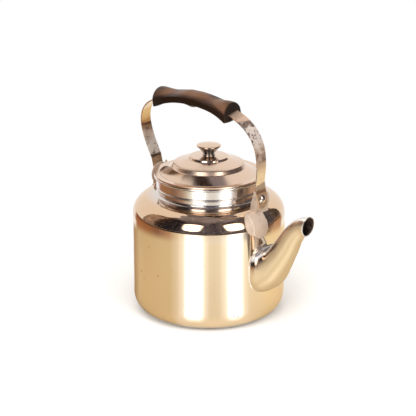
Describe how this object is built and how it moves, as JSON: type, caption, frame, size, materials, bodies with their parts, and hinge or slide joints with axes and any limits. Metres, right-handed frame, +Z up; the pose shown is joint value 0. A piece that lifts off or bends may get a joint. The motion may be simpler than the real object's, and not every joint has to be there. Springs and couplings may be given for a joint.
{
  "type": "stove-top kettle",
  "caption": "Stove-top kettle in polished steel with a gooseneck spout, stepped lift-off lid, round knob and a swinging strap bail with a dark moulded grip.",
  "frame": {"origin": "on the body's axis at the flat underside of the base", "axes": "+Z up, +X towards the spout, +Y across; the bail turns about a line parallel to X"},
  "size_m": [0.216, 0.16, 0.239],
  "materials": {
    "polished_steel": "polished stainless steel",
    "brushed_steel": "brushed and lightly scratched steel",
    "bakelite": "satin moulded phenolic plastic"
  },
  "bodies": {
    "kettle": {"body_shell": "polished_steel", "neck_collar": "polished_steel", "spout": "polished_steel", "ear_front": "brushed_steel", "ear_rear": "brushed_steel", "pivot_rivet_front": "brushed_steel", "pivot_rivet_rear": "brushed_steel"},
    "bail": {"bail_strap": "brushed_steel", "grip_upper": "bakelite", "grip_lower": "bakelite", "grip_screw_rear": "brushed_steel", "grip_screw_front": "brushed_steel"},
    "lid": {"lid_shell": "polished_steel", "lid_skirt": "polished_steel", "knob": "polished_steel", "knob_washer": "brushed_steel", "knob_screw": "brushed_steel"}
  },
  "joints": [
    {"name": "bail_swing", "type": "hinge", "parent": "kettle", "child": "bail", "pos_m": [0, 0, 0.13601], "axis": [1, 0, 0], "range_deg": [-25, 0]},
    {"name": "lid_lift", "type": "slide", "parent": "kettle", "child": "lid", "axis": [0, 0, 1], "range_m": [0, 0.04]}
  ]
}
